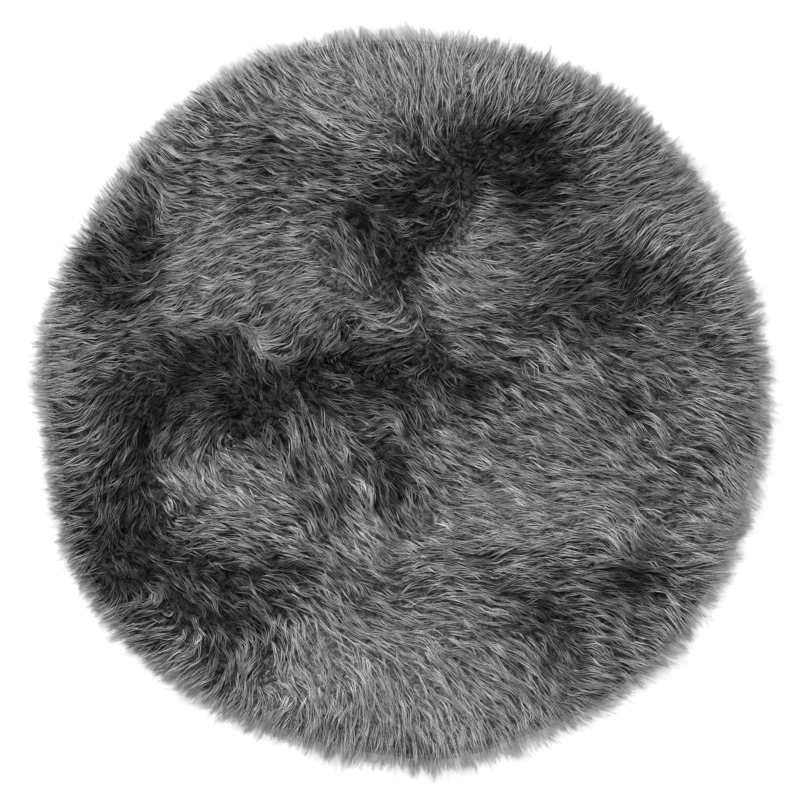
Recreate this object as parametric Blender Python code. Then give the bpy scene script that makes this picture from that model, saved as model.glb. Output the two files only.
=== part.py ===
"""Round long-wool shag rug, lying flat with its pile combed over.

The fleece is one solid: a lumpy slab of pile on a flat underside, with loose locks standing out of
its rim in two staggered rows. Metres, +Z up, with the origin at the middle of the underside.
"""

import math
import random
from collections import namedtuple

import bmesh
import bpy
from mathutils import Vector, noise

# The whole rug
RUG_RADIUS = 0.450  # to the tips of an average rim lock
LOCK_REACH = 0.036  # how far a lock stands out of the rim
PILE_HEIGHT = 0.031  # crown of the pile above the underside
SEED = 7

# The rim: columns of wall quads, two rows high, under a rounded shoulder
RIM_COLUMNS = 240
LOWER_ROW_TOP = 0.010
UPPER_ROW_TOP = 0.020
SHOULDER_IN = 0.012
SHOULDER_TOP = 0.0265
CROWN_IN = 0.050  # width of the band over which the pile rises to its full height

# The pile's top: rings of points this far apart, raised and lowered into lumps
TUFT_PITCH = 0.021
LUMP_SPACING = 0.060
LUMP_DEPTH = 0.010
TUFT_DEPTH = 0.0028

# A lock: how much shorter or longer, and how far it strays from the way the rim is combed
REACH_SPREAD = 0.16
STRAY_DEGREES = 3.0

FLEECE_GREY = (0.089, 0.089, 0.090, 1.0)
FLEECE_ROUGHNESS = 0.85

# Where the outline swells or draws in: bearing from +X, half width, and how far
Bulge = namedtuple("Bulge", "bearing half_width out")
BULGES = (
    Bulge(55, 24, 0.004),
    Bulge(80, 6, -0.006),
    Bulge(145, 20, -0.007),
    Bulge(188, 7, -0.004),
    Bulge(210, 17, 0.006),
    Bulge(280, 9, 0.007),
    Bulge(315, 13, 0.008),
    Bulge(355, 22, -0.004),
)

# Which way the rim is combed: degrees turned left of straight out, at each bearing
Sweep = namedtuple("Sweep", "bearing turn")
SWEEPS = (
    Sweep(5, -6),
    Sweep(25, 8),
    Sweep(45, -14),
    Sweep(65, -10),
    Sweep(78, -16),
    Sweep(92, 22),
    Sweep(112, 30),
    Sweep(140, -14),
    Sweep(165, 16),
    Sweep(182, -14),
    Sweep(207, 7),
    Sweep(240, -13),
    Sweep(262, 8),
    Sweep(292, 30),
    Sweep(312, 26),
    Sweep(340, -26),
)

# Where the pile lies low: the parting and the hollows between tufts
Hollow = namedtuple("Hollow", "x y radius depth")
HOLLOWS = (
    Hollow(-0.335, 0.165, 0.050, 0.006),
    Hollow(-0.260, 0.035, 0.060, 0.007),
    Hollow(-0.150, 0.010, 0.055, 0.007),
    Hollow(-0.060, 0.030, 0.055, 0.007),
    Hollow(0.010, 0.028, 0.040, 0.005),
    Hollow(-0.350, -0.150, 0.055, 0.007),
    Hollow(-0.300, -0.235, 0.060, 0.007),
    Hollow(-0.200, -0.240, 0.050, 0.007),
    Hollow(0.165, 0.298, 0.055, 0.006),
    Hollow(0.080, 0.290, 0.050, 0.007),
    Hollow(0.010, 0.235, 0.060, 0.007),
    Hollow(-0.020, 0.165, 0.038, 0.005),
    Hollow(0.205, 0.115, 0.040, 0.005),
    Hollow(0.280, 0.160, 0.032, 0.005),
    Hollow(-0.020, -0.082, 0.045, 0.004),
    Hollow(0.280, -0.215, 0.038, 0.004),
    Hollow(0.175, -0.275, 0.042, 0.005),
)

# A lock's two cut sections after its root: share of the reach, width and height kept, and drop
Section = namedtuple("Section", "reach width height drop")
LOCK_SECTIONS = (
    Section(0.50, 0.72, 0.78, 0.30),
    Section(1.00, 0.26, 0.30, 0.62),
)


def angle_between(first, second):
    """Degrees from the second bearing to the first, from -180 to 180."""
    return (first - second + 180.0) % 360.0 - 180.0


def bell(distance, width):
    return math.exp(-((distance / width) ** 2))


def outline_change(bearing):
    return sum(b.out * bell(angle_between(bearing, b.bearing), b.half_width) for b in BULGES)


def rim_radius(bearing):
    return RUG_RADIUS - LOCK_REACH + outline_change(bearing)


def comb_turn(bearing):
    """The rim's comb at a bearing, eased between the rows of the table on either side of it."""
    rows = SWEEPS + (Sweep(SWEEPS[0].bearing + 360, SWEEPS[0].turn),)
    bearing = SWEEPS[0].bearing + (bearing - SWEEPS[0].bearing) % 360.0
    for before, after in zip(rows, rows[1:]):
        if bearing <= after.bearing:
            share = (bearing - before.bearing) / (after.bearing - before.bearing)
            eased = (1.0 - math.cos(math.pi * share)) / 2.0
            return before.turn + (after.turn - before.turn) * eased
    return rows[-1].turn


def on_bearing(radius, bearing, height):
    turn = math.radians(bearing)
    return Vector((radius * math.cos(turn), radius * math.sin(turn), height))


def pile_top(x, y, rim, chance):
    """Height of the pile: its crown, less the shoulder and the hollows, with lumps and tufts."""
    inward = rim - math.hypot(x, y)
    rise = min(1.0, (inward - SHOULDER_IN) / CROWN_IN)
    height = SHOULDER_TOP + (PILE_HEIGHT - SHOULDER_TOP) * math.sin(rise * math.pi / 2.0)
    for hollow in HOLLOWS:
        height -= hollow.depth * bell(math.hypot(x - hollow.x, y - hollow.y), hollow.radius)
    lump = noise.noise(Vector((x, y, 0.0)) / LUMP_SPACING)
    return height + LUMP_DEPTH * lump + TUFT_DEPTH * chance.uniform(-1.0, 1.0)


def rim_ring(bm, inset, height):
    """One point on every column of the rim, set in from its outline."""
    bearings = [360.0 * column / RIM_COLUMNS for column in range(RIM_COLUMNS)]
    return [bm.verts.new(on_bearing(rim_radius(b) - inset, b, height)) for b in bearings]


def crown_ring(bm, share, chance):
    """A ring of the pile's top, drawn in to a share of the shoulder's radius."""
    count = max(6, round(2.0 * math.pi * share * rim_radius(0.0) / TUFT_PITCH))
    ring = []
    for step in range(count):
        bearing = 360.0 * step / count
        rim = rim_radius(bearing)
        point = on_bearing(share * (rim - SHOULDER_IN), bearing, 0.0)
        point.z = pile_top(point.x, point.y, rim, chance)
        ring.append(bm.verts.new(point))
    return ring


def zip_rings(bm, outer, inner):
    """Triangles between two rings of different counts, each next one on the ring that lags."""
    i = j = 0
    while i < len(outer) or j < len(inner):
        here, there = outer[i % len(outer)], inner[j % len(inner)]
        if (i + 0.5) / len(outer) <= (j + 0.5) / len(inner) and i < len(outer) or j == len(inner):
            i += 1
            bm.faces.new((here, outer[i % len(outer)], there))
        else:
            j += 1
            bm.faces.new((here, inner[j % len(inner)], there))


def close_ring(bm, ring, centre, upward):
    """A fan of triangles from a ring to its middle."""
    for here, there in zip(ring, ring[1:] + ring[:1]):
        bm.faces.new((here, there, centre) if upward else (there, here, centre))


def wall_between(bm, below, above):
    """The row of wall quads between two rings of the rim, in the order of their columns."""
    quads = []
    for column in range(RIM_COLUMNS):
        after = (column + 1) % RIM_COLUMNS
        corners = (below[column], below[after], above[after], above[column])
        quads.append(bm.faces.new(corners))
    return quads


def grow_lock(bm, root, bearing, chance):
    """Extrudes one wall quad into a tapered lock, with its underside level where it starts on the floor."""
    turn = comb_turn(bearing)
    heading = on_bearing(1.0, bearing + turn + chance.uniform(-STRAY_DEGREES, STRAY_DEGREES), 0.0)
    across = Vector((-heading.y, heading.x, 0.0))
    reach = LOCK_REACH * (1.0 + chance.uniform(-REACH_SPREAD, REACH_SPREAD))
    start = root.calc_center_median()
    floor = min(corner.co.z for corner in root.verts)
    tall = max(corner.co.z for corner in root.verts) - floor
    wide = 2.0 * math.pi * start.xy.length / RIM_COLUMNS * math.cos(math.radians(turn))
    face = root
    for section in LOCK_SECTIONS:
        sides = [(corner.co - start).dot(across) > 0.0 for corner in face.verts]
        tops = [corner.co.z > face.calc_center_median().z for corner in face.verts]
        face = bmesh.ops.extrude_discrete_faces(bm, faces=[face])["faces"][0]
        middle = start + heading * reach * section.reach
        for corner, left, top in zip(face.verts, sides, tops):
            place = middle + across * wide * section.width * (0.5 if left else -0.5)
            place.z = floor * (1.0 - section.drop) + (tall * section.height if top else 0.0)
            corner.co = place


def add_rim(bm, chance):
    """The rim's wall and its two rows of locks. Gives back its lowest and highest rings."""
    floor_ring = rim_ring(bm, 0.0, 0.0)
    middle_ring = rim_ring(bm, 0.0, LOWER_ROW_TOP)
    upper_ring = rim_ring(bm, 0.0, UPPER_ROW_TOP)
    shoulder_ring = rim_ring(bm, SHOULDER_IN, SHOULDER_TOP)
    lower_row = wall_between(bm, floor_ring, middle_ring)
    upper_row = wall_between(bm, middle_ring, upper_ring)
    wall_between(bm, upper_ring, shoulder_ring)
    for row, first in ((lower_row, 0), (upper_row, 1)):
        for column in range(first, RIM_COLUMNS, 2):
            grow_lock(bm, row[column], 360.0 * (column + 0.5) / RIM_COLUMNS, chance)
    return floor_ring, shoulder_ring


def add_crown(bm, shoulder_ring, chance):
    """The lumpy top, ring by ring, from the shoulder to the middle."""
    rings = round((rim_radius(0.0) - SHOULDER_IN) / TUFT_PITCH)
    outer = shoulder_ring
    for step in range(rings - 1, 0, -1):
        inner = crown_ring(bm, step / rings, chance)
        zip_rings(bm, outer, inner)
        outer = inner
    top = pile_top(0.0, 0.0, rim_radius(0.0), chance)
    close_ring(bm, outer, bm.verts.new((0.0, 0.0, top)), upward=True)


def fleece_material():
    material = bpy.data.materials.new("long_wool")
    material.use_nodes = True
    shader = material.node_tree.nodes["Principled BSDF"]
    shader.inputs["Base Color"].default_value = FLEECE_GREY
    shader.inputs["Roughness"].default_value = FLEECE_ROUGHNESS
    shader.inputs["Metallic"].default_value = 0.0
    return material


def make_fleece():
    chance = random.Random(SEED)
    bm = bmesh.new()
    floor_ring, shoulder_ring = add_rim(bm, chance)
    add_crown(bm, shoulder_ring, chance)
    close_ring(bm, floor_ring, bm.verts.new((0.0, 0.0, 0.0)), upward=False)
    mesh = bpy.data.meshes.new("fleece")
    bm.to_mesh(mesh)
    bm.free()
    mesh.materials.append(fleece_material())
    fleece = bpy.data.objects.new("fleece", mesh)
    bpy.context.scene.collection.objects.link(fleece)


def main():
    for old in list(bpy.data.objects):
        bpy.data.objects.remove(old)
    make_fleece()


main()
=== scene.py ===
"""The looks of a round long-wool shag rug: a hide, its dense underwool and its combed locks of wool.

Lengths are in metres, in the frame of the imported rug: +Z up, origin at the middle of the underside.
"""

import math
from collections import namedtuple

import bpy
import numpy as np
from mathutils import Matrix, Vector, noise


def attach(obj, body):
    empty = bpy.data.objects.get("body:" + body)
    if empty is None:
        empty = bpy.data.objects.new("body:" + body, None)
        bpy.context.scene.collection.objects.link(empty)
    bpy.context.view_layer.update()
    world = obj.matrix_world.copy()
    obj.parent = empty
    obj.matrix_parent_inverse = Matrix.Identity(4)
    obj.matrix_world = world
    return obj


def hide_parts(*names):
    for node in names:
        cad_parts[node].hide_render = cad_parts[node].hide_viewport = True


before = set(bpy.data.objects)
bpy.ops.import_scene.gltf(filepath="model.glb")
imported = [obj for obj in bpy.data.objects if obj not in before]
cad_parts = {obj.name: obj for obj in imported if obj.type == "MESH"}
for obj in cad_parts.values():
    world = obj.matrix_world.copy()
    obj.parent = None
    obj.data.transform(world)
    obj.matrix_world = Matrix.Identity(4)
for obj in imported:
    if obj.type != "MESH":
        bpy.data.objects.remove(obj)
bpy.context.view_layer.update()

# ==== Sizes

CM = 0.01
RUG_RADIUS = 0.4485  # to the tips of an average rim lock
ROOT_INSET = 0.013  # from those tips in to the outermost roots
PILE_TOP = 0.0475  # no strand stands higher

HIDE_THICK = 0.0020
HIDE_LIFT = 0.0003  # clear of the floor
HIDE_TOP = HIDE_LIFT + HIDE_THICK
HIDE_INSET = ROOT_INSET + 0.001
HIDE_RINGS, HIDE_SPOKES = 6, 120

UNDERWOOL_TOP = 0.015
UNDERWOOL_LUMP = 0.005
UNDERWOOL_LUMP_SIZE = 0.014
UNDERWOOL_GAP = 0.0003  # over the hide
UNDERWOOL_EDGE = 0.0015  # its height over the hide at its own edge
UNDERWOOL_MARGIN = 0.006  # from the outermost roots in to its edge
UNDERWOOL_SLOPE = 0.035  # from its edge in to its full height
UNDERWOOL_SLOPE_CURVE = 0.7
UNDERWOOL_RINGS, UNDERWOOL_SPOKES = 30, 120

NAP_RINGS, NAP_SPOKES = 80, 300
TINY = 1e-9
TINY_LENGTH = 1e-6

# ==== The locks. Angles are in degrees.

LONG_RINGS = 5
SHORT_RINGS = 4
BATCHES = 5  # meshes that the pile is shared out over
PILE = {
    "Grows Where": "everywhere",
    "Spacing": 0.0063,
    "Strands": 3,
    "Length": 0.055,
    "Lock Width": 0.0034,
    "Gather": 0.40,
    "Strand Radius": 0.0027,
    "Wave": 13.0,
    "Stray": 4.0,
    "Scatter": 28.0,
    "Fray": 2.2,
    "Clump Size": 0.0125,
    "Clump Pull": 0.65,
    "Meander": 30.0,
    "Meander Size": 0.015,
    "Tuft Size": 0.022,
    "Tuft Turn": 5.0,
    "Tuft Rise": 6.0,
    "Tone Lift": 0.0,
    "Stand": 0.0,
    "Root Shade": 1.0,
    "Batches": 1,
    "Batch": 0,
    "Seed": 3,
}
RIM_WISPS = {
    **PILE,
    "Grows Where": "wispy",
    "Spacing": 0.0080,
    "Length": 0.070,
    "Gather": 0.3,
    "Strand Radius": 0.00085,
    "Stray": 14.0,
    "Fray": 7.0,
    "Clump Pull": 0.2,
    "Seed": 5,
}
RIM_LOCKS = {
    **PILE,
    "Grows Where": "hide_edge",
    "Spacing": 0.0046,
    "Strands": 2,
    "Length": 0.042,
    "Gather": 0.2,
    "Strand Radius": 0.0024,
    "Stray": 14.0,
    "Fray": 4.0,
    "Clump Pull": 0.2,
    "Seed": 7,
}
LOOSE_CURLS = {
    **PILE,
    "Grows Where": "curly",
    "Spacing": 0.0052,
    "Length": 0.027,
    "Lock Width": 0.0030,
    "Gather": 0.5,
    "Strand Radius": 0.0018,
    "Wave": 25.0,
    "Stray": 50.0,
    "Fray": 8.0,
    "Clump Pull": 0.4,
    "Tone Lift": 0.06,
    "Stand": 0.20,
    "Root Shade": 0.2,
    "Seed": 9,
}
ANGLE_INPUTS = {"Wave", "Stray", "Scatter", "Fray", "Meander", "Tuft Turn", "Tuft Rise"}

# What differs by chance from clump to clump, lock to lock and strand to strand
Chance = namedtuple("Chance", "low high seed")
LOCK_PHASE = Chance(-0.5, 0.5, 11)
STRAND_PHASE = Chance(-0.15, 0.15, 12)
WAVE_CYCLES = Chance(0.85, 1.15, 13)
LOCK_TURN = Chance(-1.0, 1.0, 14)
STRAND_TURN = Chance(-1.0, 1.0, 15)
LOCK_RISE = Chance(math.radians(-2.0), math.radians(2.0), 16)
LOCK_LENGTH = Chance(0.93, 1.05, 17)
STRAND_LENGTH = Chance(0.80, 1.02, 18)
STRAND_RISE = Chance(math.radians(-1.5), math.radians(1.5), 19)
CLUMP_RISE = Chance(math.radians(-4.5), math.radians(4.5), 20)
STRAND_SIDE = Chance(-1.0, 1.0, 21)
STRAND_CROWN = Chance(0.1, 0.6, 22)
STRAND_SLIP = Chance(-1.2, 1.2, 23)
STRAND_RADIUS = Chance(0.70, 1.25, 24)
STRAND_TINT = Chance(0.0, 1.0, 25)
LOCK_TINT = Chance(0.0, 1.0, 26)
CLUMP_LENGTH = Chance(0.84, 1.10, 27)
CLUMP_TINT = Chance(0.0, 1.0, 28)
RIM_CLUMP_LENGTH = Chance(-0.22, 0.28, 29)

# How a strand stands, bends and tapers. A pair is for upright wool, then for wool that lies flat.
RING_CROWDING = 1.5  # over 1, rings lie closer together towards the tip
ROOT_RISES = math.radians(78.0), math.radians(52.0)
TIP_RISES = math.radians(48.0), math.radians(2.0)
RISE_CURVE = 0.8
RIM_SINK = math.radians(34.0)
TUFT_STRENGTH = 3.0
TUFT_LENGTH = 0.22
PHASE_SPREAD = 0.6  # tufts in which the wave changes its phase
PHASE_TURNS = 2.2
MEANDER_SWING = 4.0
GATHER_CURVE = 1.3
CLUMP_CURVE = 1.2
TAPER = 0.90
TAPER_CURVE = 3.2
PROFILE_FLATNESS = 0.14
PROFILE_SIDES = 3
NEAR_CORNER = 0.05  # of the way round the profile
FLOOR_GAP = 0.0004

# Against 1 elsewhere: in calm wool, then at the rim
CALM_UNEVENNESS = 0.15
CALM_RADIUS = 0.8
RIM_TURN = 0.55
RIM_FRAY = 3.0
RIM_SPREAD = 2.0
RIM_RADIUS = 0.9

POINT_CROWD = 6.0  # tries for each place, so that the spacing is filled
MAP_COLUMNS = 4.0  # columns of the map for each row
MAP_ACROSS = 0.08, 0.92
MAP_ALONG = 0.03, 0.97
FULL_TURN = 2.0 * math.pi
RIGHT_ANGLE = 0.5 * math.pi

# ==== How the wool lies. Places are in centimetres from the middle, headings in degrees from +X.

Bulge = namedtuple("Bulge", "bearing half_width out")
BULGES = [Bulge(*row) for row in (
    (18, 14, -0.005), (55, 20, 0.005), (80, 6, -0.004), (108, 10, 0.004), (124, 10, 0.004),
    (148, 14, -0.006), (170, 6, 0.003), (189, 8, -0.009), (213, 17, 0.007), (248, 16, -0.004),
    (278, 9, 0.009), (300, 8, 0.006), (318, 12, 0.007), (355, 10, 0.001),
)]

# The comb: which way the tips point
Stroke = namedtuple("Stroke", "x y heading")
STROKES = [Stroke(*row) for row in (
    # top left
    (-20, 40, 140), (-28, 33, 165), (-32, 29, 140), (-22, 27, 178), (-34, 26, 125),
    (-38, 22, 125), (-24, 24, 182), (-36, 18, 150), (-40, 17, 170), (-22, 19, 200),
    (-26, 17, 205), (-32, 23, 125),
    # top
    (-15, 42, 150), (-10, 39, 155), (-8, 43, 125), (-1, 45, 115), (-2, 41, 130), (4, 42, 110),
    (4, 38, 105), (8, 42, 60), (12, 41, 65), (11, 38, 80), (5, 33, 105), (8, 33, 70),
    (12, 31, 35), (12, 28, 0), (10, 23, -5), (12, 20, 5), (4, 24, 200), (-4, 25, 180),
    (-4, 29, 170), (-10, 31, 165), (-10, 23, 180), (-13, 19, 195), (-5, 19, 120),
    # top right
    (16, 41, 60), (20, 40, 50), (25, 38, 50), (22, 33, 40), (28, 35, 45), (28, 31, 25),
    (33, 28, 12), (26, 27, 20), (19, 28, 15), (22, 24, 5), (34, 24, 15), (30, 21, 15),
    (38, 19, 35), (28, 19, 60), (24, 19, 30),
    # left
    (-42, 8, 190), (-41, 3, 208), (-43, -1, 165), (-34, 4, 190), (-33, -1, 235), (-30, 10, 200),
    (-26, 11, 210), (-20, 12, 215), (-27, 6, 150), (-18, 5, 115), (-24, 1, 195), (-26, -4, 225),
    (-31, -4, 260), (-38, -4, 240), (-41, -6, 175), (-36, -8, 230), (-28, -10, -40),
    (-24, -8, -60), (-20, -10, -30), (-21, -14, -8), (-34, -11, 265), (-41, -12, 190),
    # middle
    (-13, 14, 200), (-15, 8, 230), (5, 13, -30), (8, 9, -15), (12, 14, -10), (10, 10, -10),
    (-2, 6, 198), (1, -2, -55), (-4, -3, 5), (-10, -4, -55), (-7, -1, -20), (-13, -8, -65),
    (-4, -10, -50), (2, -7, -30), (8, -4, -25), (12, -9, -10), (4, -12, -25), (0, -13, -60),
    (-10, -13, -55), (-15, -12, -20), (10, -14, -8),
    # right
    (17, 14, 30), (22, 13, 5), (30, 14, 45), (36, 14, 40), (40, 12, 20), (22, 8, -30),
    (30, 7, -5), (38, 8, 5), (42, 4, -2), (26, 3, -25), (34, 3, -20), (19, 0, -30), (30, -1, -40),
    (36, -2, -15), (40, -1, -25), (42, -5, -40), (28, -5, -45), (34, -8, -10), (39, -9, -60),
    (22, -7, -15), (17, -11, -8), (28, -12, -20), (34, -13, -10), (38, -13, -50),
    # bottom left
    (-40, -20, 215), (-32, -21, -30), (-24, -18, 5), (-20, -18, -15), (-36, -26, 215),
    (-30, -27, 180), (-26, -24, -40), (-20, -25, -35), (-30, -31, 200), (-24, -34, 225),
    (-20, -31, -75), (-22, -37, 225),
    # bottom
    (-6, -19, -35), (-13, -22, -15), (-8, -24, -45), (2, -19, -8), (2, -22, 15), (8, -23, -8),
    (12, -19, 15), (-4, -28, -20), (4, -27, -5), (-13, -28, -65), (-10, -32, -55), (-4, -33, -55),
    (4, -32, -45), (10, -31, -30), (12, -35, -35), (-2, -37, -75), (4, -37, -50), (-10, -37, -65),
    (-14, -40, -115), (-8, -39, -100), (-4, -40, -85), (2, -41, -70), (8, -41, -68),
    (12, -40, -45),
    # bottom right
    (17, -17, 5), (28, -17, -50), (36, -18, 0), (39, -18, 45), (22, -20, 0), (30, -20, -10),
    (19, -23, 0), (28, -23, -25), (36, -21, 8), (34, -27, -42), (24, -27, -20), (17, -28, -30),
    (30, -28, -30), (17, -33, -50), (26, -33, -10), (30, -33, 0), (22, -36, 15), (17, -37, -50),
    (19, -40, -25), (16, -40, -65),
)]
STROKE_REACH = 2.6 * CM
FAR_WEIGHT = 1e-4  # of a stroke well out of reach
MEANDER_SIZE = 0.032
MEANDER_TURN = 0.35
RIM_PULL = 0.9  # against 1 for the comb itself
RIM_PULL_DEPTH = 0.060
DROOP_DEPTH = 0.045  # how far in from the rim the wool starts to bend down to the floor
RIM_LENGTH = 0.34  # of the full length, at the outermost roots
RIM_LENGTHENS = 0.055  # metres further in for a whole length more

# Whorls, where the comb turns round on itself; spin is positive to the left
Whorl = namedtuple("Whorl", "x y radius spin")
WHORLS = (
    Whorl(-6.3, 9.5, 3.2, 1.4),
    Whorl(-1.1, 2.7, 2.6, 1.3),
    Whorl(-17.5, -33.7, 3.0, 1.2),
)

# Hollows, where the wool stands up, parts and looks dark, from 0 for none to 1 for a deep one
Hollow = namedtuple("Hollow", "x y radius depth")
HOLLOWS = [Hollow(*row) for row in (
    # left, above the middle
    (-34.5, 13.5, 4, 0.9), (-32, 20, 3.2, 0.7), (-37, 17, 3, 0.5), (-30.5, 17, 2, 0.45),
    (-29, 27, 2.2, 0.4), (-17, 29, 2.5, 0.5), (-12, 28, 2.5, 0.3), (-8, 28, 2.5, 0.4),
    (-19, 23, 2, 0.3),
    # the long hollow across the middle
    (-26, 4, 3.8, 1), (-21.5, 5.5, 2.6, 0.6), (-30, -1.5, 4, 0.7), (-33, -5, 3.6, 0.7),
    (-35, 1, 3, 0.4), (-19.5, -1.5, 4.2, 0.9), (-15, 1, 3.2, 0.7), (-16, -5, 2.8, 0.6),
    (-11, 3, 3.6, 0.7), (-9.5, -1, 2.8, 0.6), (-6, 4.5, 3.4, 0.6), (-3, 1, 3.4, 0.7),
    (0, 3, 3.4, 0.7), (4, 3, 3, 0.5), (8.5, 1.5, 3, 0.8), (12.5, 2.5, 2.4, 0.5),
    # down the left side
    (-33, -10, 3.2, 0.8), (-35.5, -16, 4.6, 0.8), (-31, -16, 3.4, 0.6), (-33, -22, 4, 0.8),
    (-28.5, -20, 3, 0.6), (-26.5, -25, 3.4, 0.7), (-22, -22, 3.6, 0.8), (-20, -27, 3.4, 0.8),
    (-16, -22, 3, 0.6), (-16.5, -28, 2.6, 0.4), (-12, -20, 2.6, 0.4), (-22.5, -33, 2.4, 0.4),
    # above the middle
    (-6, 22, 3, 0.6), (-2, 21, 3.4, 0.8), (1, 24, 3.2, 0.8), (0, 18, 2.8, 0.7),
    (3.5, 21, 2.6, 0.7), (-4.5, 18, 2.6, 0.4), (-0.5, 14.5, 2.2, 0.6), (5, 25.5, 3, 0.7),
    (9, 29, 3.4, 0.8), (13, 27, 3.4, 0.9), (17, 29, 3.4, 0.8), (15.5, 24, 2.6, 0.6),
    (18, 33, 2.6, 0.6), (19, 26, 2.4, 0.6), (8, 32.5, 3, 0.5), (2, 29, 3.4, 0.4),
    (13, 32, 2.6, 0.5),
    # right
    (20, 14, 3, 0.6), (24, 13, 2.4, 0.4), (28, 16, 2.8, 0.7), (27, 12.5, 2.4, 0.3),
    (32.5, 13, 2.8, 0.4), (17, 9, 2.8, 0.5), (23, 9, 2.8, 0.4), (29, 9, 2.6, 0.2),
    (27, -1, 2.4, 0.4), (38, -7, 2.4, 0.2), (35, -13, 2, 0.3),
    # lower right and lower middle
    (28, -22.5, 2.4, 0.9), (30.5, -20, 2.6, 0.5), (24, -20, 2.6, 0.2), (19.5, -21, 3, 0.4),
    (17, -27, 3.2, 0.5), (20.5, -28, 2.4, 0.4), (13, -24, 2.6, 0.3), (25, -27, 2.6, 0.3),
    (-4, -8, 3, 0.5), (-1, -10.5, 3, 0.5), (-12, -14.5, 2.6, 0.4), (-1, -13.5, 2.6, 0.3),
    # the dark left rim
    (-40.5, 17.5, 3.2, 0.5), (-38, 23, 3, 0.3), (-43.5, 5, 2.6, 0.35), (-43, -5, 3, 0.4),
    (-42, -12, 3.4, 0.35), (-38.5, -22, 3.6, 0.3), (-33.5, -31, 3.2, 0.5), (-17, 41, 2.8, 0.6),
    (-25, 37, 2.4, 0.3), (-31, 31.5, 3, 0.35), (-36, 26, 2.6, 0.3),
    # mild ones
    (14, 20, 3, 0.3), (12, 10, 3, 0.3), (4, 14, 3, 0.25), (-12, -8, 3, 0.3), (-8, -13, 3, 0.3),
    (-6, -22, 3, 0.2), (-12, -25, 3, 0.2), (0, -3.5, 3, 0.4), (1, -7, 2.6, 0.25),
    (-32, 8, 2.6, 0.3), (-20, 8.5, 3, 0.2), (25, -4, 3, 0.25), (-27, -13, 3, 0.2),
    (-19, -18, 3, 0.25),
    # small deep pits where locks part
    (-0.6, -12.7, 0.9, 0.8), (9.5, -20, 0.9, 0.7), (1.7, -22.2, 0.9, 0.7), (17, -26, 1.2, 0.8),
    (14, -24.3, 1, 0.7), (33.3, 13.4, 1.2, 0.8), (24.5, 8.8, 1.1, 0.7), (21.6, 9.7, 1, 0.6),
    (27.5, 7.5, 1.1, 0.6), (27.2, -0.7, 1.2, 0.6), (26.7, 15, 1.1, 0.7), (17.9, 33.7, 1.1, 0.6),
    (19.7, 28.3, 1.2, 0.7), (5.7, 22.1, 1.1, 0.7), (3.1, 21.3, 1.2, 0.7), (23.4, 20.7, 0.9, 0.6),
    (22.6, 24.5, 1, 0.5), (27.5, -22.5, 1.2, 0.8), (32, -22.5, 0.9, 0.5), (-17, 19, 0.9, 0.4),
)]

# Crests, where it lies flat and catches the light
Crest = namedtuple("Crest", "x y radius lift")
CRESTS = [Crest(*row) for row in (
    # top
    (-3, 37, 4.5, 0.7), (-14, 37, 4, 0.6), (-8, 39, 3, 0.5), (5, 39, 4, 0.8),
    (12.5, 38.5, 4, 0.8), (-10, 33, 2.6, 0.4), (21, 36, 4, 0.6), (27, 27, 4, 0.5),
    (33.5, 22, 4, 0.6), (38, 14, 3.4, 0.5),
    # left
    (-21, 12.5, 3.6, 0.5), (-14, 16, 4.6, 0.6), (-25, 18, 3.6, 0.5), (-27.5, 12, 3, 0.4),
    (-12, 11, 3, 0.4), (-18, 6, 1.9, 0.30), (-41, 5, 3.4, 0.6), (-21, -9.5, 3.6, 0.7),
    (-17, -15, 3.2, 0.6), (-28, -9.5, 2.4, 0.5), (-25, -16, 2.4, 0.4), (-9, -5.5, 2.2, 0.4),
    # middle and right
    (9.5, 18.5, 3.4, 0.7), (10, 14.5, 3.6, 0.5), (5, 13.5, 2.8, 0.5), (14, 12.5, 2.6, 0.3),
    (7, -6, 3, 0.4), (11, -14, 4.4, 0.7), (17, -14.5, 4.4, 0.7), (22, -13, 3.6, 0.4),
    (18, -7, 3, 0.4), (5, -14.5, 3, 0.5), (28.5, -15, 3, 0.7), (24, -9, 3, 0.3),
    (37, 0, 3.4, 0.4), (39, -13.5, 3, 0.5), (33, -3, 2.6, 0.3),
    # bottom
    (-5, -18, 3, 0.8), (-10, -30, 4.4, 0.6), (-5, -32, 4, 0.6), (-13, -27, 2.4, 0.5),
    (0, -28, 4.4, 0.5), (4, -32.5, 4.4, 0.6), (-13, -36, 4, 0.8), (-4, -37.5, 4.6, 0.8),
    (5, -39, 4.6, 0.8), (11, -35, 4, 0.5), (8.5, -26, 3.4, 0.4), (-1, -21, 3, 0.3),
    (20, -37, 3.4, 0.3),
    # the bright right rim
    (38, 20.5, 3.6, 0.5), (42, 10, 3.6, 0.5), (43.5, 1, 3.6, 0.4), (41, -10, 3, 0.4),
    (39, -18.5, 3.6, 0.6), (34, -16, 2.6, 0.5), (7, 40.5, 3, 0.4), (0, 42, 3, 0.3),
    (-6, 36, 2.6, 0.4), (-4.5, -41, 3, 0.6), (8, -42, 3.4, 0.5), (16, -39.5, 3, 0.6),
    (-18, -36, 3.4, 0.4), (-27, -33.5, 3, 0.4), (-22, 21, 2.6, 0.4), (-24, 15, 2.6, 0.3),
    # mild ones
    (-24, 22, 3, 0.3), (-10, 17, 3, 0.3), (-25, 12.5, 3, 0.3), (15.5, -24, 2.4, 0.3),
    (30, 20, 3, 0.25), (3, -16, 4, 0.2),
)]
MOST_HOLLOW = 1.1
SMALL_PIT = 1.5  # hollows under this radius have no curls of their own
HOLLOW_SHORTENS = 0.12

# How far wool lies over, from 0 for upright to 1 for flat
PLAIN_LEAN = 0.84
CREST_LEAN = 0.16
HOLLOW_LEAN = -0.20
PARTING_LEAN = 0.30
PARTING_GAIN = 0.045
SPREAD_STEP = 0.006  # over which the comb's spreading is measured

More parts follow.
